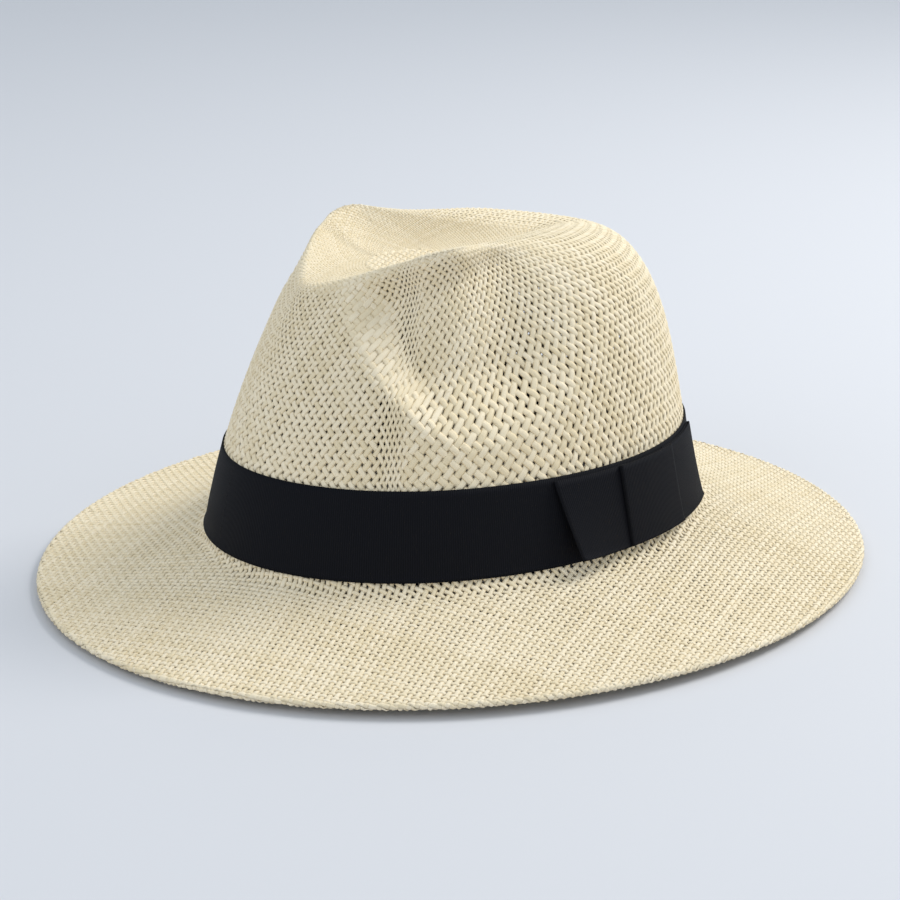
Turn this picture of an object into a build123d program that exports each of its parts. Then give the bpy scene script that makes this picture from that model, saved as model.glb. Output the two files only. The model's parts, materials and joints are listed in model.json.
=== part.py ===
from build123d import *
import os
from math import atan2, cos, degrees, exp, radians, sin

# Panama hat, millimetres. +Z up, the front of the hat looks along -Y and the wearer's left is +X.
# The origin is on the surface that the brim rests on, under the middle of the brim.
# A place round the hat is an angle in degrees: 0 at the front, 90 at the wearer's left, 180 behind.
# A station runs over the straw: 0 at the brim's edge, 1 at the break, 2 on the ridge, 3 in the hollow.

# The block that the hat is shaped on
HEAD_HALF_WIDTH = 83.0
HEAD_HALF_LENGTH = 107.5
BRIM_HALF_WIDTH = 152.5
BRIM_HALF_LENGTH = 173.5
BREAK_HEIGHT = 19.5  # where the brim turns up into the crown
EDGE_HEIGHT = 4.9  # mean height of the brim's edge
FRONT_SNAP = 0.6  # how much higher the brim stands in front than behind
SIDE_ROLL = 1.2  # how much the sides of the brim lift
STRAW = 1.5  # woven straw, both crossing layers

# The diamond hollow in the top of the crown
PINCH = Vector(0, -69.5, 124)
RIDGE_HALF_WIDTH = 49.0
RIDGE_HALF_LENGTH = 70.0
RIDGE_RISE = 21.5
CORNER_TURN = 65.0  # where the ridge leaves the wall and runs back to the hollow's point
HOLLOW_CORNER = Vector(45, -28, 145.5)
HOLLOW_POINT = Vector(0, 41, 137)
CREST_SOFTNESS = 12.0  # degrees over which each corner of the crest is rounded
HOLLOW_CENTRE = Vector(0, -16, 126)
HOLLOW_FLOOR = (15.0, 17.0)  # half width and half length of the level middle
DENT_DEPTH = 9.0
DENT_ANGLE = 74.0
DENT_FOOT = 64.0  # height where the side dents begin

# Ribbon, bow and sweatband
RIBBON = 0.6
RIBBON_WIDTH = 35.5
LAYER_GAP = 0.15
BAND_FOOT = BREAK_HEIGHT + 1.0
PANEL = 2 * RIBBON  # each panel of the bow is ribbon laid double
SWEATBAND_WIDTH = 33.0
SWEATBAND = 0.9
SWEATBAND_GAP = 0.4  # it is sewn only along its foot
SWEATBAND_FOOT = BREAK_HEIGHT - 1.0

# Hem and wire, as shares of the brim or millimetres out from its edge
HEM_SHARE = 0.13
WIRE_RADIUS = 0.42
WIRE_OUT, WIRE_DOWN = 0.55, 1.35

BREAK_START, BREAK_END = 0.93, 1.035  # stations where the rounded break begins and ends
CREST_START, CREST_END = 1.92, 2.13  # and the rounded crest
RING_POINTS = 36
HOOP_POINTS = 36
PANEL_STEPS = 7


def smooth(x):
    x = min(max(x, 0.0), 1.0)
    return x * x * (3 - 2 * x)


def mix(a, b, share):
    return a + (b - a) * share


def oval(half_width, half_length, angle, z=0.0):
    return Vector(half_width * sin(radians(angle)), -half_length * cos(radians(angle)), z)


def brim_edge(angle):
    lift = FRONT_SNAP * cos(radians(angle)) - SIDE_ROLL * cos(radians(2 * angle))
    return oval(BRIM_HALF_WIDTH, BRIM_HALF_LENGTH, angle, EDGE_HEIGHT + lift)


def brim_break(angle):
    return oval(HEAD_HALF_WIDTH, HEAD_HALF_LENGTH, angle, BREAK_HEIGHT)


def diamond(angle):
    """The hollow's outline: a V at the front pinch, then straight back to the point, all sharp."""
    side = 1 if angle <= 180 else -1
    turn = angle if angle <= 180 else 360 - angle
    if turn <= CORNER_TURN:
        narrow = 1 - 0.6 * exp(-((turn / 32) ** 2))
        x = RIDGE_HALF_WIDTH * sin(radians(turn)) * narrow
        y = PINCH.Y + RIDGE_HALF_LENGTH * (1 - cos(radians(turn)))
        return Vector(side * x, y, PINCH.Z + RIDGE_RISE * smooth((turn - 8) / 66))
    back = (turn - CORNER_TURN) / (180 - CORNER_TURN)
    x = HOLLOW_CORNER.X * (1 - back)
    y = mix(HOLLOW_CORNER.Y, HOLLOW_POINT.Y, back)
    return Vector(side * x, y, mix(HOLLOW_CORNER.Z, HOLLOW_POINT.Z, back**2.2))


def ridge(angle):
    """The crest round the hollow, the diamond with its corners rounded."""
    total = Vector(0, 0, 0)
    for step in (-1.0, -0.5, 0.0, 0.5, 1.0):
        total += diamond((angle + step * CREST_SOFTNESS) % 360)
    return total / 5


def dent(angle, z):
    """Depth of the hollow pressed into each side of the crown, a triangle with its point down."""
    turn = angle if angle <= 180 else 360 - angle
    spread = 10 + 38 * smooth((z - DENT_FOOT) / 66)
    across = cos(radians(90 * min(abs(turn - DENT_ANGLE) / spread, 1))) ** 2
    return DENT_DEPTH * across * smooth((z - DENT_FOOT) / 45)


def wall(angle, rise):
    """The crown's outside, from the break at rise 0 over the shoulder to the ridge at rise 1."""
    low, top = brim_break(angle), ridge(angle)
    behind = smooth((degrees(atan2(abs(low.X), -low.Y)) - 40) / 100)
    upright = Vector(low.X * 0.975, low.Y * 0.975, mix(64, 74, behind))
    shoulder = Vector(
        mix(mix(low.X, top.X, 0.62), low.X * 0.93, behind * 0.75),
        mix(mix(low.Y, top.Y, 0.62), low.Y * 0.95, behind),
        mix(mix(upright.Z, top.Z, 0.62), 147, behind),
    )
    a, b, c, d = (1 - rise) ** 3, 3 * (1 - rise) ** 2 * rise, 3 * (1 - rise) * rise**2, rise**3
    spot = low * a + upright * b + shoulder * c + top * d
    depth = dent(angle, spot.Z) * smooth((1 - rise) / 0.3)
    return spot - Vector(spot.X, spot.Y, 0).normalized() * depth


def hollow(angle, inward):
    """The top inside the ridge, from the ridge at inward 0 down to the level middle at 1."""
    rim = ridge(angle)
    floor = HOLLOW_CENTRE + oval(*HOLLOW_FLOOR, angle)
    spot = floor + (rim - floor) * (1 - inward)
    return Vector(spot.X, spot.Y, mix(floor.Z, rim.Z, (1 - inward) ** 2))


def brim(angle, out):
    """The top of the brim, from the break at out 0 to its edge at out 1."""
    near, far = brim_break(angle), brim_edge(angle)
    spot = near + (far - near) * out
    return Vector(spot.X, spot.Y, mix(far.Z, near.Z, (1 - out) ** 1.35))


def rounded(start, middle, end, turn):
    return start * (1 - turn) ** 2 + middle * (2 * turn * (1 - turn)) + end * turn**2


def skin(angle, station):
    """The hat's upper surface at a station, with the break and the crest rounded."""
    if BREAK_START < station < BREAK_END:
        turn = (station - BREAK_START) / (BREAK_END - BREAK_START)
        return rounded(brim(angle, 1 - BREAK_START), brim_break(angle), wall(angle, BREAK_END - 1), turn)
    if CREST_START < station < CREST_END:
        turn = (station - CREST_START) / (CREST_END - CREST_START)
        return rounded(wall(angle, CREST_START - 1), ridge(angle), hollow(angle, CREST_END - 2), turn)
    if station <= 1:
        return brim(angle, 1 - station)
    if station <= 2:
        return wall(angle, station - 1)
    return hollow(angle, station - 2)


def lifted(angle, station, lift):
    """A point that stands off the upper surface, outwards where lift is above zero."""
    along = skin((angle + 0.5) % 360, station) - skin((angle - 0.5) % 360, station)
    low, high = max(station - 0.01, 0), station + 0.01
    across = skin(angle, high) - skin(angle, low)
    return skin(angle, station) + along.cross(across).normalized() * lift


def wall_station(angle, height):
    """The station where the crown's wall reaches a height."""
    low, high = 1.0, 1.6
    for _ in range(24):
        middle = (low + high) / 2
        low, high = (middle, high) if wall(angle, middle - 1).Z < height else (low, middle)
    return low


def at_height(angle, height, lift):
    return lifted(angle, wall_station(angle, height), lift)


def ring(place, count=RING_POINTS):
    """One closed curve round the hat, through place(angle), with even parameters so that rings match."""
    places = [place(360 * k / count) for k in range(count)]
    evenly = [k / count for k in range(count + 1)]
    return Wire([Edge.make_spline(places, periodic=True, parameters=evenly)])


def hoop(places):
    """A closed hoop whose section has its corners at places(angle), taken in order round it."""
    rings = [ring(place, HOOP_POINTS) for place in places]
    faces = []
    for near, far in zip(rings, rings[1:] + rings[:1]):
        faces += Shell.make_loft([near, far], ruled=True).faces()
    return Solid(Shell(faces))


def band_places(heights, inner, outer):
    """Corners of an upright band on the crown's wall: up its outside and down its inside."""
    up = [lambda angle, h=h: at_height(angle, h, outer) for h in heights]
    down = [lambda angle, h=h: at_height(angle, h, inner) for h in reversed(heights)]
    return up + down


def panel(start, end, low, high, inner, outer, corner=0.0):
    """A flat piece of doubled ribbon on the band, whose lower front corner stands off by corner."""
    sections = []
    for k in range(PANEL_STEPS + 1):
        share = k / PANEL_STEPS
        angle = mix(start, end, share)
        heights = [low, mix(low, high, 0.5), high]
        off = [corner * (1 - share) ** 1.5 * (1 - h / 2) ** 1.6 for h in range(3)]
        front = [at_height(angle, z, outer + o) for z, o in zip(heights, off)]
        back = [at_height(angle, z, inner + o) for z, o in zip(heights, off)]
        sections.append(front + back[::-1])
    edges = [Edge.make_spline(list(corners)) for corners in zip(*sections)]
    faces = []
    for near, far in zip(edges, edges[1:] + edges[:1]):
        faces.append(Face.make_surface_from_curves(near, far))
    for low_front, mid_front, top_front, top_back, mid_back, low_back in (sections[0], sections[-1]):
        halves = [(low_front, mid_front, low_back, mid_back), (mid_front, top_front, mid_back, top_back)]
        for a, b, c, d in halves:
            faces.append(Face.make_surface_from_curves(Edge.make_line(a, b), Edge.make_line(c, d)))
    return Solid(Shell(faces))


# Crown and brim, one piece of woven straw
stations = [0.0, 0.3, 0.6, 0.8, BREAK_START, 0.955, 0.975, 0.99, 1.005, 1.02, BREAK_END]
stations += [1.08, 1.13, 1.18, 1.24, 1.3, 1.37, 1.45, 1.54, 1.63, 1.72, 1.8, 1.87, CREST_START]
stations += [1.955, 1.99, 2.025, 2.06, 2.095, CREST_END, 2.25, 2.4, 2.6, 2.8, 3.0]
skins = []
for lift in (0.0, -STRAW):
    rings = [ring(lambda angle, s=s: lifted(angle, s, lift)) for s in stations]
    skins.append((rings[0], Shell.make_loft(rings, ruled=True).faces() + [Face(rings[-1])]))
(edge_above, skin_above), (edge_below, skin_below) = skins
edge_faces = Shell.make_loft([edge_above, edge_below], ruled=True).faces()
with BuildPart() as straw_body:
    add(Solid(Shell(skin_above + skin_below + edge_faces)))
straw_body.part.label = "straw_body"


def beyond_edge(out, down):
    """A place in the fold of the hem, out from the brim's edge and down from its upper face."""
    return lambda angle: brim_edge(angle) + oval(out, out, angle, -down)


def under_brim(share, depth):
    return lambda angle: lifted(angle, share, -depth)


# Hem, the brim's edge turned under and stitched down
fold_outside = [(0.0, 0.02), (0.8, 0.2), (1.4, 0.8), (1.5, 1.6), (1.1, 2.45), (0.2, 2.85)]
fold_inside = [(-0.1, 1.6), (0.3, 1.95), (0.8, 1.9), (1.08, 1.5), (1.0, 1.0), (0.6, 0.75), (0.0, 0.7)]
hem_places = [beyond_edge(*spot) for spot in fold_outside]
hem_places += [under_brim(HEM_SHARE / 2, 2.75), under_brim(HEM_SHARE, 2.6), under_brim(HEM_SHARE, 1.6)]
hem_places += [under_brim(HEM_SHARE / 2, 1.6)] + [beyond_edge(*spot) for spot in fold_inside]
with BuildPart() as brim_hem:
    add(hoop(hem_places))
brim_hem.part.label = "brim_hem"

# Wire that holds the brim's shape, inside the fold
turns = [2 * 180 * k / 8 for k in range(8)]
wire_places = [
    beyond_edge(WIRE_OUT + WIRE_RADIUS * sin(radians(t)), WIRE_DOWN - WIRE_RADIUS * cos(radians(t)))
    for t in turns
]
with BuildPart() as brim_wire:
    add(hoop(wire_places))
brim_wire.part.label = "brim_wire"

# Hat band, a ribbon round the foot of the crown
band_heights = [BAND_FOOT + RIBBON_WIDTH * share for share in (0, 0.12, 0.4, 0.7, 1)]
with BuildPart() as hat_band:
    add(hoop(band_places(band_heights, LAYER_GAP, LAYER_GAP + RIBBON)))
hat_band.part.label = "hat_band"

# Flat bow on the wearer's left: two side panels and the one that wraps over their meeting
band_face = 2 * LAYER_GAP + RIBBON
panel_face = band_face + LAYER_GAP + PANEL
bow_top = BAND_FOOT + RIBBON_WIDTH - 1.5
with BuildPart() as bow_front_panel:
    add(panel(92, 109, BAND_FOOT - 0.3, bow_top, band_face, band_face + PANEL, corner=5.0))
bow_front_panel.part.label = "bow_front_panel"
with BuildPart() as bow_rear_panel:
    add(panel(124.5, 146, BAND_FOOT - 0.3, bow_top, band_face, band_face + PANEL))
bow_rear_panel.part.label = "bow_rear_panel"
with BuildPart() as bow_middle_panel:
    add(panel(107, 126, BAND_FOOT - 0.3, bow_top + 0.3, panel_face + 0.1, panel_face + 0.1 + PANEL))
bow_middle_panel.part.label = "bow_middle_panel"

# Sweatband inside the crown, and the tape over the place where its ends meet behind
sweat_outer = -STRAW - SWEATBAND_GAP
sweat_inner = sweat_outer - SWEATBAND
sweat_heights = [SWEATBAND_FOOT + 1.5 + SWEATBAND_WIDTH * share for share in (0, 0.2, 0.45, 0.7, 1)]
with BuildPart() as sweatband:
    add(hoop(band_places(sweat_heights, sweat_inner, sweat_outer)))
sweatband.part.label = "sweatband"
with BuildPart() as sweatband_tape:
    add(panel(176, 184, sweat_heights[0] + 1, sweat_heights[-1] - 1, sweat_inner - 0.8, sweat_inner - 0.3))
sweatband_tape.part.label = "sweatband_tape"

pieces = [straw_body, brim_hem, brim_wire, hat_band, bow_front_panel, bow_middle_panel]
pieces += [bow_rear_panel, sweatband, sweatband_tape]
os.makedirs("parts", exist_ok=True)
for piece in pieces:
    export_step(piece.part, f"parts/{piece.part.label}.step")
    print(piece.part.label, round(piece.part.volume), piece.part.is_valid)
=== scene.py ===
import json
from math import cos, pi, radians, sin

import bpy
import numpy as np
from mathutils import Matrix, Vector
from mathutils.bvhtree import BVHTree

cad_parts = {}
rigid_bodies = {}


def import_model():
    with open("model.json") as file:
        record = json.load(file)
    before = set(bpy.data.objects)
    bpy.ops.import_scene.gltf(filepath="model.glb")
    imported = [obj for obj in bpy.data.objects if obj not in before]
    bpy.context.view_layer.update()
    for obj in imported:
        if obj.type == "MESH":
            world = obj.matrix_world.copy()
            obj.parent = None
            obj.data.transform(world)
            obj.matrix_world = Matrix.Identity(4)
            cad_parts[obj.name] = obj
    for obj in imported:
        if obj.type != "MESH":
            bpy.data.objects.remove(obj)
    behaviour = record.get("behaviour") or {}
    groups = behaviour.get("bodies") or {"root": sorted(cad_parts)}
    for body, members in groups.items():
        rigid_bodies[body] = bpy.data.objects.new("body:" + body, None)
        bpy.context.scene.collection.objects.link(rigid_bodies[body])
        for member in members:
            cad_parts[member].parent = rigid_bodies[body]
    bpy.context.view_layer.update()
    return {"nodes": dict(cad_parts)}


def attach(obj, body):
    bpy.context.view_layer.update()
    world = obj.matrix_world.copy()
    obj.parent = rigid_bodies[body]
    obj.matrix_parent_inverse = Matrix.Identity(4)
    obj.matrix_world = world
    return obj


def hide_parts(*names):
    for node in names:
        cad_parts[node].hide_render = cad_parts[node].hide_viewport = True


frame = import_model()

# Panama hat. Shapes are worked out in millimetres and the meshes are in metres.
# A place round the hat is an angle in degrees: 0 at the front, 90 at the wearer's left, 180 behind.
# A station runs over the straw: 0 at the brim's edge, 1 at the break, 2 on the crest, 3 in the hollow.
MM = 0.001
rng = np.random.default_rng(11)

# The block that the hat is shaped on
HEAD = (83.0, 107.5)
BRIM = (152.5, 173.5)
BREAK_HEIGHT = 19.5
EDGE_HEIGHT = 4.9
FRONT_SNAP, SIDE_ROLL = 0.6, 1.2
PINCH = (0.0, -69.5, 124.0)
RIDGE_HALF_WIDTH, RIDGE_HALF_LENGTH, RIDGE_RISE = 49.0, 70.0, 20.5
CORNER_TURN, CREST_SOFTNESS = 65.0, 8.0
HOLLOW_CORNER = (45.0, -28.0, 144.5)
HOLLOW_POINT = (0.0, 40.0, 132.5)
HOLLOW_CENTRE = (0.0, -16.0, 126.0)
HOLLOW_FLOOR = (15.0, 17.0)
FRONT_NARROW, FRONT_NARROW_TURN = 0.6, 32.0  # how far the front V is drawn in, and over what angle
DENT_DEPTH, DENT_ANGLE, DENT_FOOT, DENT_TOP = 13.0, 75.0, 68.0, 138.0
DENT_AHEAD, DENT_BEHIND = 53, 56  # degrees that the dent widens each way towards its top
TAPER_SIDE, TAPER_FRONT, TAPER_BACK = 0.88, 0.93, 0.82  # the wall leans in above the band
LEAN_HEIGHT = (64.0, 74.0)  # where the lean is steered, in front and behind
TOWARDS_RIDGE = 0.62  # the front of the shoulder lies this far from the foot to the ridge
SHOULDER_SIDE = 0.75  # how much of the dome's width the shoulder takes behind
SHOULDER = (0.87, 0.96, 144.0)  # share of the head and height of the dome behind the hollow
BREAK_START, BREAK_END = 0.93, 1.035
CREST_START, CREST_END = 1.945, 2.08

# Ribbon and sweatband
RIBBON = 0.6
RIBBON_WIDTH = 35.5
BAND_FOOT = BREAK_HEIGHT + 1.0
SWEATBAND_WIDTH = 33.0
BOW_RIBBON = 0.5
BOW_FOOT, BOW_TOP = BAND_FOOT - 0.3, BAND_FOOT + 34.2

# Weave
PITCH = 2.35  # from one strand to the next
STRAND_WIDTH, STRAND_THICK = 2.05, 0.66
STRAND_WAVE = 0.42  # how far a strand goes over and under
STRAND_SINK = 0.45  # the middle of the weave lies this far under the hat's outer surface
FILL, WIDEST = 0.97, 1.5  # share of the gap that a crown strand fills, and its most over the usual width


# ---------------------------------------------------------------- shape of the hat
def smooth(x):
    x = np.clip(x, 0, 1)
    return x * x * (3 - 2 * x)


def mix(a, b, share):
    return a + (b - a) * share


def vec(x, y, z):
    return np.stack(np.broadcast_arrays(x, y, z), -1).astype(float)


def oval(half_width, half_length, angle, z=0.0):
    turn = np.radians(angle)
    return vec(half_width * np.sin(turn), -half_length * np.cos(turn), z)


def brim_edge(angle):
    turn = np.radians(angle)
    return oval(*BRIM, angle, EDGE_HEIGHT + FRONT_SNAP * np.cos(turn) - SIDE_ROLL * np.cos(2 * turn))


def brim_break(angle):
    return oval(*HEAD, angle, BREAK_HEIGHT)


def diamond(angle):
    """The hollow's outline with sharp corners: a V at the front pinch, straight back to the point."""
    angle = np.asarray(angle) % 360
    side = np.where(angle <= 180, 1, -1)
    turn = np.where(angle <= 180, angle, 360 - angle)
    t = np.radians(turn)
    narrow = 1 - FRONT_NARROW * np.exp(-((turn / FRONT_NARROW_TURN) ** 2))
    x1 = RIDGE_HALF_WIDTH * np.sin(t) * narrow
    y1 = PINCH[1] + RIDGE_HALF_LENGTH * (1 - np.cos(t))
    z1 = PINCH[2] + RIDGE_RISE * smooth((turn - 8) / 66)
    back = np.clip((turn - CORNER_TURN) / (180 - CORNER_TURN), 0, 1)
    x2 = HOLLOW_CORNER[0] * (1 - back)
    y2 = mix(HOLLOW_CORNER[1], HOLLOW_POINT[1], back)
    z2 = mix(HOLLOW_CORNER[2], HOLLOW_POINT[2], back**0.8)
    front = turn <= CORNER_TURN
    return vec(side * np.where(front, x1, x2), np.where(front, y1, y2), np.where(front, z1, z2))


def ridge(angle):
    return sum(diamond(angle + step * CREST_SOFTNESS) for step in (-1, -0.5, 0, 0.5, 1)) / 5


def dent(angle, z):
    """Depth of the hollow pressed into each side: a triangle, point down, with its sharper edge in front."""
    angle = np.asarray(angle) % 360
    turn = np.where(angle <= 180, angle, 360 - angle)
    rise = np.clip((z - DENT_FOOT) / (DENT_TOP - DENT_FOOT), 0, 1)
    front = DENT_ANGLE - DENT_AHEAD * rise**0.6
    behind = DENT_ANGLE + 4 + DENT_BEHIND * rise**0.7
    across = smooth((turn - front) / (6 + 11 * rise)) * smooth((behind - turn) / (12 + 34 * rise))
    return DENT_DEPTH * across * smooth(rise / 0.42)


def wall(angle, rise):
    low, top = brim_break(angle), ridge(angle)
    behind = smooth((np.degrees(np.arctan2(abs(low[..., 0]), -low[..., 1])) - 40) / 100)
    up = vec(
        low[..., 0] * TAPER_SIDE,
        low[..., 1] * mix(TAPER_FRONT, TAPER_BACK, behind),
        mix(*LEAN_HEIGHT, behind),
    )
    shoulder = vec(
        mix(mix(low[..., 0], top[..., 0], TOWARDS_RIDGE), low[..., 0] * SHOULDER[0], behind * SHOULDER_SIDE),
        mix(mix(low[..., 1], top[..., 1], TOWARDS_RIDGE), low[..., 1] * SHOULDER[1], behind),
        mix(mix(up[..., 2], top[..., 2], TOWARDS_RIDGE), SHOULDER[2], behind),
    )
    r = (np.asarray(rise) * np.ones(low.shape[:-1]))[..., None]
    spot = low * (1 - r) ** 3 + up * 3 * (1 - r) ** 2 * r + shoulder * 3 * (1 - r) * r**2 + top * r**3
    depth = dent(angle, spot[..., 2]) * smooth((1 - r[..., 0]) / 0.2)
    out = np.hypot(spot[..., 0], spot[..., 1])
    spot[..., :2] -= spot[..., :2] / out[..., None] * depth[..., None]
    return spot


def hollow(angle, inward):
    rim = ridge(angle)
    floor = np.array(HOLLOW_CENTRE) + oval(*HOLLOW_FLOOR, angle)
    i = (np.asarray(inward) * np.ones(rim.shape[:-1]))[..., None]
    spot = floor + (rim - floor) * (1 - i)
    spot[..., 2] = mix(floor[..., 2], rim[..., 2], (1 - i[..., 0]) ** 2)
    return spot


def brim(angle, out):
    near, far = brim_break(angle), brim_edge(angle)
    o = np.asarray(out) * np.ones(near.shape[:-1])
    spot = near + (far - near) * o[..., None]
    spot[..., 2] = mix(far[..., 2], near[..., 2], np.clip(1 - o, 0, None) ** 1.35)
    return spot


def rounded(start, middle, end, turn):
    t = turn[..., None]
    return start * (1 - t) ** 2 + middle * (2 * t * (1 - t)) + end * t**2


def skin(angle, station):
    """The hat's upper surface, with the break and the crest rounded."""
    angle, station = np.broadcast_arrays(np.asarray(angle, float), np.asarray(station, float))
    spot = np.empty(angle.shape + (3,))
    on = station <= 1
    spot[on] = brim(angle[on], 1 - station[on])
    on = (station > 1) & (station <= 2)
    spot[on] = wall(angle[on], station[on] - 1)
    on = station > 2
    spot[on] = hollow(angle[on], station[on] - 2)
    on = (station > BREAK_START) & (station < BREAK_END)
    a, t = angle[on], (station[on] - BREAK_START) / (BREAK_END - BREAK_START)
    spot[on] = rounded(brim(a, 1 - BREAK_START), brim_break(a), wall(a, BREAK_END - 1), t)
    on = (station > CREST_START) & (station < CREST_END)
    a, t = angle[on], (station[on] - CREST_START) / (CREST_END - CREST_START)
    spot[on] = rounded(wall(a, CREST_START - 1), ridge(a), hollow(a, CREST_END - 2), t)
    return spot


def normal(angle, station):
    along = skin(angle + 0.5, station) - skin(angle - 0.5, station)
    across = skin(angle, station + 0.01) - skin(angle, np.maximum(station - 0.01, 0))
    n = np.cross(along, across)
    return n / np.maximum(np.linalg.norm(n, axis=-1, keepdims=True), 1e-9)


def lifted(angle, station, lift):
    return skin(angle, station) + normal(angle, station) * np.asarray(lift)[..., None]


def wall_station(angle, height):
    low = np.ones(np.broadcast(angle, height).shape)
    high = low * 1.6
    for _ in range(24):
        middle = (low + high) / 2
        below = wall(angle, middle - 1)[..., 2] < height
        low, high = np.where(below, middle, low), np.where(below, high, middle)
    return low


def at_height(angle, height, lift):
    return lifted(angle, wall_station(angle, height), lift)


# ---------------------------------------------------------------- meshes
def mesh_object(name, verts, faces, uv=None, tone=None, smooth_shade=True):
    """A piece from vertices in millimetres and faces of four corners."""
    mesh = bpy.data.meshes.new(name)
    verts, faces = np.asarray(verts, float) * MM, np.asarray(faces, np.int32)
    mesh.vertices.add(len(verts))
    mesh.vertices.foreach_set("co", verts.ravel())
    mesh.loops.add(faces.size)
    mesh.loops.foreach_set("vertex_index", faces.ravel())
    mesh.polygons.add(len(faces))
    mesh.polygons.foreach_set("loop_start", np.arange(0, faces.size, faces.shape[1], dtype=np.int32))
    mesh.polygons.foreach_set("use_smooth", np.full(len(faces), smooth_shade))
    if uv is not None:
        layer = mesh.uv_layers.new(name="along")
        layer.data.foreach_set("uv", np.asarray(uv, np.float32)[faces.ravel()].ravel())
    if tone is not None:
        layer = mesh.attributes.new("tone", "FLOAT", "POINT")
        layer.data.foreach_set("value", np.asarray(tone, np.float32))
    mesh.update()
    mesh.validate()
    obj = bpy.data.objects.new(name, mesh)
    bpy.context.scene.collection.objects.link(obj)
    return obj


# A strand's section, across and up, in shares of its width and thickness
SECTION = [(-0.5, -0.3), (-0.22, 0.42), (0.22, 0.42), (0.5, -0.3)]


class Strands:
    """Gathers strips of straw into one mesh."""

    def __init__(self):
        self.verts, self.faces, self.uv, self.tone, self.count = [], [], [], [], 0

    def add(self, spots, normals, widths, tone, start=0.0):
        n = len(spots)
        if n < 3:
            return
        ahead = np.gradient(spots, axis=0)
        length = np.linalg.norm(ahead, axis=1, keepdims=True)
        side = np.cross(ahead / np.maximum(length, 1e-9), normals)
        side /= np.maximum(np.linalg.norm(side, axis=1, keepdims=True), 1e-9)
        along = start + np.concatenate([[0], np.cumsum(np.linalg.norm(np.diff(spots, axis=0), axis=1))])
        k = len(SECTION)
        thick = STRAND_THICK * np.minimum(widths / STRAND_WIDTH, 1)[:, None]
        corners = [spots + side * (a * widths)[:, None] + normals * (b * thick) for a, b in SECTION]
        ring = np.stack(corners, 1)
        self.verts.append(ring.reshape(-1, 3))
        across = np.array([0.0, 0.3, 0.7, 1.0])
        self.uv.append(np.stack([np.repeat(along, k), np.tile(across, n)], 1))
        self.tone.append(np.full(n * k, tone))
        i = np.arange(n - 1)[:, None] * k + np.arange(k)[None, :] + self.count
        j = np.arange(n - 1)[:, None] * k + (np.arange(k)[None, :] + 1) % k + self.count
        self.faces.append(np.stack([i, j, j + k, i + k], -1).reshape(-1, 4))
        last = self.count + (n - 1) * k
        self.faces.append(np.array([[self.count + 3, self.count + 2, self.count + 1, self.count],
                                    [last, last + 1, last + 2, last + 3]]))
        self.count += n * k

    def make(self, name):
        return mesh_object(name, np.concatenate(self.verts), np.concatenate(self.faces),
                           np.concatenate(self.uv), np.concatenate(self.tone))


def wobble(n, size, reach):
    """Slow random drift along a strand."""
    knots = rng.normal(0, size, int(n / reach) + 4)
    return np.interp(np.arange(n) / reach, np.arange(len(knots)), knots)


# Crown: strands that climb the wall at 45 degrees both ways, cross the crest and end inside it
ANGLES = np.arange(0, 360.01, 1.0)
CLIMB = np.linspace(1.03, 2.93, 320)
ANGLE_GRID, CLIMB_GRID = np.meshgrid(ANGLES, CLIMB, indexing="ij")
crown_spots = skin(ANGLE_GRID, CLIMB_GRID)
crown_normals = normal(ANGLE_GRID, CLIMB_GRID)
climbed = np.concatenate(
    [np.zeros((len(ANGLES), 1)), np.cumsum(np.linalg.norm(np.diff(crown_spots, axis=1), axis=2), axis=1)], 1)
LEVEL = 90  # row of the grid where strands are spaced evenly
around = np.concatenate([[0], np.cumsum(np.linalg.norm(np.diff(crown_spots[:, LEVEL], axis=0), axis=1))])
GIRTH = around[-1]
CROWN_STRANDS = int(round(GIRTH / (PITCH * 2**0.5)))
CLIMB_LENGTH = float(np.mean(climbed[:, -1]))


def crown_place(share, climb_share):
    """Place and normal at a share of the girth and a share of the climb."""
    angle = np.interp((share % 1.0) * GIRTH, around, ANGLES)
    row = climb_share * (len(CLIMB) - 1)
    i = np.clip(angle.astype(int), 0, 359)
    j = np.clip(row.astype(int), 0, len(CLIMB) - 2)
    s, t = (angle - i)[:, None], (row - j)[:, None]

    def at(grid):
        low = grid[i, j] * (1 - s) + grid[i + 1, j] * s
        high = grid[i, j + 1] * (1 - s) + grid[i + 1, j + 1] * s
        return low * (1 - t) + high * t

    n = at(crown_normals)
    return at(crown_spots), n / np.linalg.norm(n, axis=1, keepdims=True)


crossings = 2 * CLIMB_LENGTH / GIRTH * CROWN_STRANDS
for way, half_of, name in ((1, 0, "crown_strands_right_front"), (1, 1, "crown_strands_right_back"),
                           (-1, 0, "crown_strands_left_front"), (-1, 1, "crown_strands_left_back")):
    bundle = Strands()
    for k in range(half_of * CROWN_STRANDS // 2, (half_of + 1) * CROWN_STRANDS // 2):
        q = np.arange(0, int(crossings) * 2 + 1) / 2
        climb_share = q / crossings
        drift = wobble(len(q), 0.05 / CROWN_STRANDS, 8)
        share = k / CROWN_STRANDS + way * q / 2 / CROWN_STRANDS + drift
        spots, normals = crown_place(share, climb_share)
        near, _ = crown_place(share + 0.5 / CROWN_STRANDS, climb_share)
        gap = np.linalg.norm(near - spots, axis=1) * 2
        widths = np.minimum(gap / 2**0.5 * FILL, STRAND_WIDTH * WIDEST) * (1 + wobble(len(q), 0.06, 6))
        wave = STRAND_WAVE * way * np.cos(pi * q) * np.minimum(widths / STRAND_WIDTH, 1)
        spots = spots + normals * (wave - STRAND_SINK)[:, None]
        bundle.add(spots, normals, widths, rng.uniform(0, 1), rng.uniform(0, 500))
    piece = bundle.make(name)
    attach(piece, "root")


# Brim: a flat grid of strands turned on the hat, that runs on round the wire and under the hem
HEM_RADIUS = 1.35
HEM_UNDER = 9.0
GRID_TURN = 35.0


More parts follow.
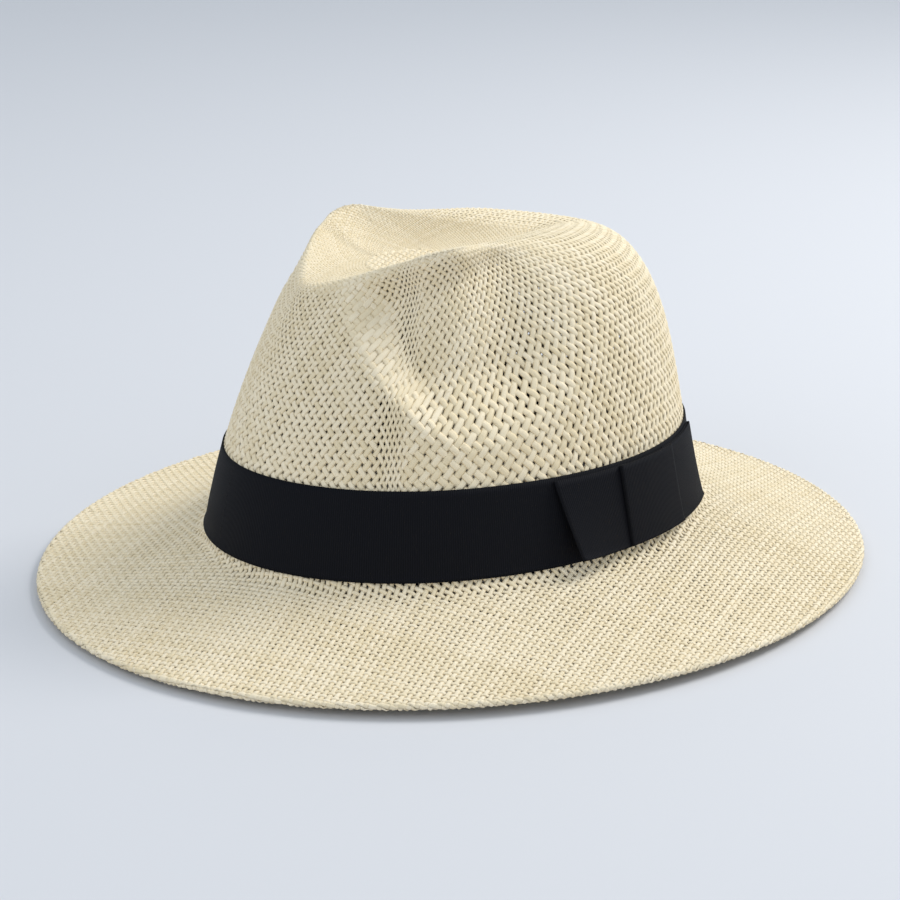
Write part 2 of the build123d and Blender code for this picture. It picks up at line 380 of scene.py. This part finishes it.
def brim_place(x, y):
    """Place and normal over a flat spot; past the edge the weave folds under. Also how far past it is."""
    angle = np.degrees(np.arctan2(x / BRIM[0], -y / BRIM[1])) % 360
    # distance from the brim's edge along the ray from the middle
    edge = oval(*BRIM, angle)
    reach = np.hypot(x, y)
    edge_reach = np.hypot(edge[:, 0], edge[:, 1])
    past = reach - edge_reach
    inner = oval(*HEAD, angle)
    out = (reach - np.hypot(inner[:, 0], inner[:, 1])) / (edge_reach - np.hypot(inner[:, 0], inner[:, 1]))
    out = np.minimum(out, 1)
    station = np.where(out > 0, 1 - out, 1 - 1.5 * out)
    top = skin(angle, np.clip(station, 0, None))
    n = normal(angle, np.clip(station, 0.0, None))
    outward = edge / edge_reach[:, None]
    arc = HEM_RADIUS * pi
    turn = np.clip(past / HEM_RADIUS, 0, pi)
    under = np.maximum(past - arc, 0)
    fold = past > 0
    up = np.array([0, 0, 1.0])
    spot = top.copy()
    spot[fold] = (top[fold] + outward[fold] * (np.sin(turn[fold]) * HEM_RADIUS - under[fold])[:, None]
                  - up * (HEM_RADIUS * (1 - np.cos(turn[fold])))[:, None])
    rise = (brim(angle[fold], np.clip(1 - under[fold] / 68, 0, 1))[:, 2] - top[fold][:, 2])
    spot[fold, 2] += np.where(under[fold] > 0, rise, 0)
    n[fold] = outward[fold] * np.sin(turn[fold])[:, None] + up * np.cos(turn[fold])[:, None]
    return spot, n, past, out


half = PITCH / 2
c, s = cos(radians(GRID_TURN)), sin(radians(GRID_TURN))
rows = int(190 / PITCH)
for way, first, last, name in ((0, -rows, 0, "brim_strands_long_1"), (0, 1, rows, "brim_strands_long_2"),
                               (1, -rows, 0, "brim_strands_cross_1"), (1, 1, rows, "brim_strands_cross_2")):
    bundle = Strands()
    for k in range(first, last + 1):
        steps = np.arange(-2 * rows, 2 * rows + 1)
        t = steps * half
        shift = k * PITCH + wobble(len(t), 0.11, 14)
        u, v = (t, shift) if way == 0 else (shift, t)
        x, y = u * c - v * s, u * s + v * c
        spot, n, past, out = brim_place(x, y)
        keep = (past < HEM_RADIUS * pi + HEM_UNDER) & (out > -0.03)
        side = 1 if way == 0 else -1
        wave = STRAND_WAVE * side * np.cos(pi * (steps / 2 + k)) - STRAND_SINK
        spot = spot + n * wave[:, None]
        tone = rng.uniform(0, 1)
        widths = STRAND_WIDTH * (1 + wobble(len(t), 0.06, 8))
        cuts = np.flatnonzero(np.diff(np.concatenate([[0], keep.astype(int), [0]])))
        for a, b in zip(cuts[::2], cuts[1::2]):
            bundle.add(spot[a:b], n[a:b], widths[a:b], tone, rng.uniform(0, 500))
    piece = bundle.make(name)
    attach(piece, "root")


# Tip: a level grid on the floor of the hollow, where the wall's strands end
bundle = {0: Strands(), 1: Strands()}
hollow_angles = np.arange(0, 361, 1.0)
hollow_stations = np.linspace(2.8, 3.0, 20)
HA, HS = np.meshgrid(hollow_angles[:-1], hollow_stations, indexing="ij")
hollow_points = skin(HA, HS).reshape(-1, 3)
grid_faces = []
columns, rings = HA.shape
for i in range(columns):
    for j in range(rings - 1):
        a, b = i * rings + j, ((i + 1) % columns) * rings + j
        grid_faces.append((a, b, b + 1, a + 1))
inner_ring = [i * rings + rings - 1 for i in range(columns)]
grid_faces.append(tuple(inner_ring))
tree = BVHTree.FromPolygons([tuple(p) for p in hollow_points], grid_faces)
TIP_TURN = 45.0
c, s = cos(radians(TIP_TURN)), sin(radians(TIP_TURN))
for way in (0, 1):
    for k in range(-36, 37):
        steps = np.arange(-72, 73)
        t = steps * half
        shift = k * PITCH + wobble(len(t), 0.1, 10)
        u, v = (t, shift) if way == 0 else (shift, t)
        x, y = u * c - v * s, u * s + v * c - 18
        spots, normals, keep = np.zeros((len(t), 3)), np.zeros((len(t), 3)), np.zeros(len(t), bool)
        for i in range(len(t)):
            hit, nn, _, _ = tree.ray_cast(Vector((x[i], y[i], 200)), Vector((0, 0, -1)))
            if hit is not None:
                spots[i], keep[i] = hit, True
                normals[i] = nn if nn.z > 0 else -nn
        wave = STRAND_WAVE * (1 if way == 0 else -1) * np.cos(pi * (steps / 2 + k)) - 0.6
        spots = spots + normals * wave[:, None]
        cuts = np.flatnonzero(np.diff(np.concatenate([[0], keep.astype(int), [0]])))
        for a, b in zip(cuts[::2], cuts[1::2]):
            bundle[way].add(spots[a:b], normals[a:b], np.full(b - a, STRAND_WIDTH), rng.uniform(0, 1),
                            rng.uniform(0, 500))
for way, name in ((0, "tip_strands_long"), (1, "tip_strands_cross")):
    piece = bundle[way].make(name)
    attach(piece, "root")
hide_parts("straw_body", "brim_hem")


# ---------------------------------------------------------------- ribbon
def cloth(name, spots, uv, closed=False, thick=RIBBON):
    """A sheet on a grid of spots, thickened both ways, with a closed rim."""
    n, m = spots.shape[:2]
    du = np.roll(spots, -1, 0) - np.roll(spots, 1, 0) if closed else np.gradient(spots, axis=0)
    dv = np.gradient(spots, axis=1)
    out = np.cross(du, dv)
    out /= np.maximum(np.linalg.norm(out, axis=2, keepdims=True), 1e-9)
    front, back = spots + out * thick / 2, spots - out * thick / 2
    verts = np.concatenate([front.reshape(-1, 3), back.reshape(-1, 3)])
    size = n * m
    faces = []
    count = n if closed else n - 1
    for i in range(count):
        for j in range(m - 1):
            a, b = i * m + j, ((i + 1) % n) * m + j
            faces.append((a, b, b + 1, a + 1))
            faces.append((a + size, a + 1 + size, b + 1 + size, b + size))
        a, b = i * m, ((i + 1) % n) * m
        faces.append((a, a + size, b + size, b))
        faces.append((a + m - 1, b + m - 1, b + m - 1 + size, a + m - 1 + size))
    if not closed:
        for j in range(m - 1):
            faces.append((j, j + 1, j + 1 + size, j + size))
            a = (n - 1) * m + j
            faces.append((a, a + size, a + 1 + size, a + 1))
    return mesh_object(name, verts, faces, np.concatenate([uv.reshape(-1, 2)] * 2) * 1.0)


def ribbon_grid(start, end, low, high, lift, steps, rows):
    """Spots of a flat ribbon on the wall and its own measure along and across, in millimetres."""
    angles = np.linspace(start, end, steps)
    heights = np.linspace(0, 1, rows)
    A, H = np.meshgrid(angles, heights, indexing="ij")
    Z = low + (high - low) * H
    spots = at_height(A, Z, lift(A, H) if callable(lift) else np.full(A.shape, lift))
    along = np.concatenate([[0], np.cumsum(np.linalg.norm(np.diff(spots[:, rows // 2], axis=0), axis=1))])
    uv = np.stack([np.repeat(along[:, None], rows, 1), np.repeat((H * (high - low))[:1], steps, 0)], -1)
    return spots, uv, along[-1]


def band_lift(A, H):
    edge = 0.12 * np.exp(-((1 - H) / 0.06) ** 2) + 0.25 * np.exp(-(H / 0.05) ** 2)
    return 0.5 + edge + 0.12 * np.sin(np.radians(A * 7)) * np.sin(pi * H)


spots, uv, length = ribbon_grid(0, 360, BAND_FOOT, BAND_FOOT + RIBBON_WIDTH, band_lift, 541, 15)
band = cloth("band_ribbon", spots[:-1], uv[:-1], closed=True)
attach(band, "root")
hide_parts("hat_band")
length * MM


def bow_panel(name, node, start, end, lift, corner=0.0, lean=0.0, low=BOW_FOOT, high=BOW_TOP, steps=24):
    """Ribbon laid double, with a soft fold at its ends, its lower front corner standing off."""
    rows = 16
    angles = np.linspace(start, end, steps)
    gap = 0.55  # from the middle of the fold to each layer

    def stand(A, H):
        share = (A - start) / (end - start)
        return corner * np.clip(1 - share, 0, None) ** 1.5 * np.clip(1 - H, 0, None) ** 1.4

    def layer(A, extra):
        H = np.linspace(0, 1, rows)
        AA, HH = np.meshgrid(A, H, indexing="ij")
        AA = AA - lean * HH * (end - AA) / (end - start)
        return at_height(AA, low + (high - low) * HH, lift + extra + stand(AA, HH))

    outer = layer(angles, gap)
    inner = layer(angles[::-1], -gap)
    fold = [(0.36, 0.75 * gap), (0.495, 0.0), (0.36, -0.75 * gap)]  # angle past the end, and lift
    tail = [layer(np.array([end + past]), up) for past, up in fold]
    head = [layer(np.array([start - past]), -up) for past, up in fold]
    spots = np.concatenate([outer] + tail + [inner] + head)
    along = np.concatenate([[0], np.cumsum(np.linalg.norm(np.diff(spots[:, rows // 2], axis=0), axis=1))])
    up = np.linspace(0, high - low, rows)
    uv = np.stack([np.repeat(along[:, None], rows, 1), np.repeat(up[None], len(along), 0)], -1)
    piece = cloth(name, spots, uv, closed=True, thick=BOW_RIBBON)
    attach(piece, "root")
    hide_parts(node)


bow_panel("bow_front_ribbon", "bow_front_panel", 92.5, 109, 1.9, corner=6.5, lean=3.0)
bow_panel("bow_rear_ribbon", "bow_rear_panel", 124.5, 146, 1.9)
bow_panel("bow_middle_ribbon", "bow_middle_panel", 107, 126, 3.4, high=BAND_FOOT + 34.5)

# Sweatband and the tape over its join
spots, uv, length = ribbon_grid(0, 360, 20.0, 20.0 + SWEATBAND_WIDTH, lambda A, H: -2.55 + 0 * A, 361, 12)
sweat = cloth("sweatband_cloth", spots[:-1], uv[:-1], closed=True, thick=0.8)
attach(sweat, "root")
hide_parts("sweatband")
length * MM
spots, uv, length = ribbon_grid(176, 184, 21.0, 52.0, lambda A, H: -3.35 + 0 * A, 12, 12)
tape = cloth("sweatband_tape_cloth", spots, uv, thick=0.45)
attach(tape, "root")
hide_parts("sweatband_tape")
length * MM


# ---------------------------------------------------------------- finishes
class Wire:
    """A socket of a material's nodes that does sums with others."""

    def __init__(self, tree, socket):
        self.tree, self.socket = tree, socket

    def node(self, kind, settings=None, out=0, stops=None, **inputs):
        made = self.tree.nodes.new(kind)
        for key, value in (settings or {}).items():
            setattr(made, key, value)
        if stops:
            ramp = made.color_ramp
            while len(ramp.elements) < len(stops):
                ramp.elements.new(0.5)
            for element, (place, colour) in zip(ramp.elements, stops):
                element.position, element.color = place, (*colour, 1)
        for key, value in inputs.items():
            spot = made.inputs[int(key[1:])] if key[0] == "i" and key[1:].isdigit() else made.inputs[key]
            if isinstance(value, Wire):
                self.tree.links.new(value.socket, spot)
            else:
                spot.default_value = value
        return Wire(self.tree, made.outputs[out])

    def sum(self, operation, other, back=False):
        pair = (other, self) if back else (self, other)
        return self.node("ShaderNodeMath", {"operation": operation}, i0=pair[0], i1=pair[1])

    def __add__(self, other):
        return self.sum("ADD", other)

    def __radd__(self, other):
        return self.sum("ADD", other, True)

    def __sub__(self, other):
        return self.sum("SUBTRACT", other)

    def __rsub__(self, other):
        return self.sum("SUBTRACT", other, True)

    def __mul__(self, other):
        return self.sum("MULTIPLY", other)

    def __rmul__(self, other):
        return self.sum("MULTIPLY", other, True)

    def __truediv__(self, other):
        return self.sum("DIVIDE", other)

    def __pow__(self, other):
        return self.sum("POWER", other)


def material(name):
    made = bpy.data.materials.new(name)
    made.use_nodes = True
    tree = made.node_tree
    shader = tree.nodes["Principled BSDF"]
    return made, tree, shader, Wire(tree, shader.outputs[0])


def feed(tree, shader, **links):
    for key, wire in links.items():
        tree.links.new(wire.socket, shader.inputs[key.replace("_", " ")])


def colour_mix(wire, factor, a, b, blend="MIX"):
    made = wire.tree.nodes.new("ShaderNodeMix")
    made.data_type, made.blend_type = "RGBA", blend
    for key, value in ((0, factor), (6, a), (7, b)):
        if isinstance(value, Wire):
            wire.tree.links.new(value.socket, made.inputs[key])
        else:
            made.inputs[key].default_value = value if key == 0 else (*value, 1)
    return Wire(wire.tree, made.outputs[2])


def straw_finish():
    made, tree, shader, start = material("straw")
    place = start.node("ShaderNodeTexCoord", out=3)
    uv = start.node("ShaderNodeUVMap", {"uv_map": "along"})
    tone = start.node("ShaderNodeAttribute", {"attribute_name": "tone"}, out=2)
    stretch = start.node("ShaderNodeMapping", Vector=uv, Scale=(0.35, 9.0, 1.0))
    fibre = start.node("ShaderNodeTexNoise", Vector=stretch, Scale=1.0, Detail=3.0, Roughness=0.6)
    patch = start.node("ShaderNodeTexNoise", Vector=place, Scale=22.0, Detail=2.0)
    spots = start.node("ShaderNodeTexNoise", Vector=place, Scale=420.0, Detail=1.0)
    base = colour_mix(start, tone, (0.81, 0.685, 0.46), (0.91, 0.795, 0.59))
    base = colour_mix(start, (fibre - 0.45) * 0.9, base, (0.66, 0.51, 0.30))
    base = colour_mix(start, (patch - 0.4) * 0.8, base, (0.93, 0.83, 0.64))
    base = colour_mix(start, (spots - 0.66) * 2.0, base, (0.45, 0.33, 0.17))
    bump = start.node("ShaderNodeBump", Strength=0.5, Distance=0.0002, Height=fibre)
    feed(tree, shader, Base_Color=base, Roughness=0.5 + fibre * 0.25, Normal=bump)
    shader.inputs["Specular IOR Level"].default_value = 0.35
    return made


def ribbon_finish(name, rib, colour, crest_highlight_and_mottle, rough):
    made, tree, shader, start = material(name)
    uv = start.node("ShaderNodeUVMap", {"uv_map": "along"})
    parts = uv.tree.nodes.new("ShaderNodeSeparateXYZ")
    uv.tree.links.new(uv.socket, parts.inputs[0])
    along, across = Wire(tree, parts.outputs[0]), Wire(tree, parts.outputs[1])
    wave = start.node("ShaderNodeMath", {"operation": "SINE"}, i0=along * (2 * pi / rib))
    fine = start.node("ShaderNodeMath", {"operation": "SINE"}, i0=across * (2 * pi / 0.42))
    place = start.node("ShaderNodeTexCoord", out=3)
    noise = start.node("ShaderNodeTexNoise", Vector=place, Scale=60.0, Detail=3.0)
    lint = start.node("ShaderNodeTexNoise", Vector=place, Scale=900.0, Detail=2.0)
    height = wave * 0.5 + fine * 0.14 + lint * 0.3
    bump = start.node("ShaderNodeBump", Strength=0.7, Distance=0.00014, Height=height)
    # Painted light: the rib crests are painted lighter than the grooves, a painted highlight on each crest
    # and painted shade in each groove. The same lighter colour also gives a random mottle through the noise.
    tint = colour_mix(start, (wave * 0.5 + 0.5) * 0.6 + noise * 0.3, colour, crest_highlight_and_mottle)
    feed(tree, shader, Base_Color=tint, Roughness=rough + noise * 0.15, Normal=bump)
    shader.inputs["Sheen Weight"].default_value = 0.01
    shader.inputs["Sheen Roughness"].default_value = 0.4
    shader.inputs["Specular IOR Level"].default_value = 0.1
    return made


straw = straw_finish()
# The second colour of each finish is the painted highlight on the rib crests, also used for the random
# mottle.
ribbon = ribbon_finish("ribbon", 0.85, (0.002, 0.0022, 0.0034), (0.0075, 0.008, 0.012), 0.62)
lining = ribbon_finish("sweatband", 1.3, (0.012, 0.012, 0.014), (0.03, 0.03, 0.034), 0.7)
wire_made, tree, shader, start = material("wire")
place = start.node("ShaderNodeTexCoord", out=3)
grain = start.node("ShaderNodeTexNoise", Vector=place, Scale=900.0, Detail=2.0)
steel = colour_mix(start, grain, (0.4, 0.4, 0.41), (0.6, 0.6, 0.61))
feed(tree, shader, Roughness=0.3 + grain * 0.2, Base_Color=steel)
shader.inputs["Metallic"].default_value = 1.0

for obj in bpy.data.objects:
    if obj.type != "MESH":
        continue
    if "strands" in obj.name:
        finish = straw
    elif "ribbon" in obj.name:
        finish = ribbon
    elif "cloth" in obj.name:
        finish = lining
    elif obj.name.startswith("brim_wire"):
        finish = wire_made
    else:
        continue
    obj.data.materials.clear()
    obj.data.materials.append(finish)
if "brim_wire" in frame["nodes"]:
    node = frame["nodes"]["brim_wire"]
    for slot in node.material_slots:
        slot.material = wire_made

# ---------------------------------------------------------------- floor, light and camera
floor_half = 4.0
bpy.ops.object.select_all(action="DESELECT")
bpy.ops.mesh.primitive_plane_add(size=2 * floor_half, location=(0, 0, -0.0002))
floor = bpy.context.object
floor.name = "floor"
floor_made, tree, shader, start = material("floor")
shader.inputs["Base Color"].default_value = (0.64, 0.645, 0.675, 1)
shader.inputs["Roughness"].default_value = 0.75
floor.data.materials.append(floor_made)

CAMERA_TURN, CAMERA_RISE, CAMERA_FAR = 60.0, 18.85, 0.913
turn, rise = radians(CAMERA_TURN), radians(CAMERA_RISE)
back = Vector((sin(turn) * cos(rise), -cos(turn) * cos(rise), sin(rise)))
right = Vector((cos(turn), sin(turn), 0))
up = back.cross(right)
target = Vector((0, -0.003, 0.0518))
view = bpy.data.cameras.new("camera")
view.sensor_width = 36
view.lens = 2235 / 900 * 36
view.shift_x = -1.5 / 900
view.shift_y = -17 / 900
camera = bpy.data.objects.new("camera", view)
place = target + back * CAMERA_FAR
camera.matrix_world = Matrix(((right.x, up.x, back.x, place.x), (right.y, up.y, back.y, place.y),
                              (right.z, up.z, back.z, place.z), (0, 0, 0, 1)))
bpy.context.scene.collection.objects.link(camera)
bpy.context.scene.camera = camera


def area_light(name, spot, aim, size, power, colour=(1, 1, 1)):
    data = bpy.data.lights.new(name, "AREA")
    data.shape, data.size, data.energy, data.color = "DISK", size, power, colour
    lamp = bpy.data.objects.new(name, data)
    lamp.location = spot
    lamp.rotation_euler = (Vector(aim) - Vector(spot)).to_track_quat("-Z", "Y").to_euler()
    bpy.context.scene.collection.objects.link(lamp)


def from_camera(side, ahead, height):
    flat_back = Vector((sin(turn), -cos(turn), 0))
    return tuple(right * side + flat_back * ahead + Vector((0, 0, height)))


area_light("key", from_camera(1.15, -0.45, 1.35), (0, 0, 0.05), 0.9, 22, (1.0, 0.985, 0.95))
area_light("fill", from_camera(-1.2, 1.2, 1.0), (0, 0, 0.05), 1.6, 5, (0.97, 0.985, 1.0))
world = bpy.data.worlds.new("world")
bpy.context.scene.world = world
world.use_nodes = True
world.node_tree.nodes["Background"].inputs[0].default_value = (0.84, 0.92, 1.0, 1)
world.node_tree.nodes["Background"].inputs[1].default_value = 0.74
bpy.context.scene.view_settings.view_transform = "Standard"
